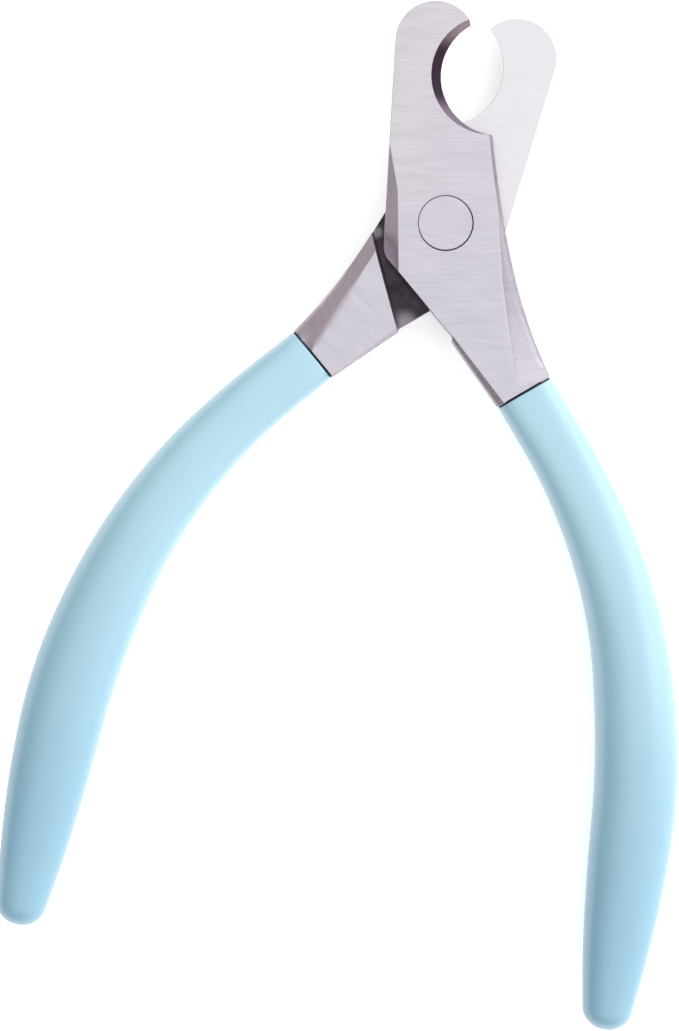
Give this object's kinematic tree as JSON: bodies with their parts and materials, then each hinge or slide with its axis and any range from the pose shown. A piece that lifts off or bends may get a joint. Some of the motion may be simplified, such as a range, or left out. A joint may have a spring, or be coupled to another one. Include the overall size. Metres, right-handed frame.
{
  "type": "plier-type pet nail clipper",
  "caption": "Plier-type pet nail clipper: two crossed steel levers on a flush rivet, each with a round cutting notch, and light blue moulded grips.",
  "frame": {"origin": "on the rivet's axis, at the flat back face of the head", "axes": "+Y from the rivet towards the blades, midway between the two open handles; +Z along the rivet's axis, from the rear lever to the front lever"},
  "size_m": [0.0852, 0.1255, 0.0094],
  "materials": {
    "ground_steel": "ground and satin polished",
    "grip_vinyl": "smooth satin dipped vinyl"
  },
  "bodies": {
    "front_half": {"front_lever": "ground_steel", "pivot_rivet": "ground_steel", "front_grip": "grip_vinyl"},
    "rear_half": {"rear_lever": "ground_steel", "rear_grip": "grip_vinyl"}
  },
  "joints": [
    {"name": "rivet_hinge", "type": "hinge", "parent": "front_half", "child": "rear_half", "pos_m": [0, 0, 0.0032], "axis": [0, 0, 1], "range_deg": [-42, 26.5]}
  ]
}
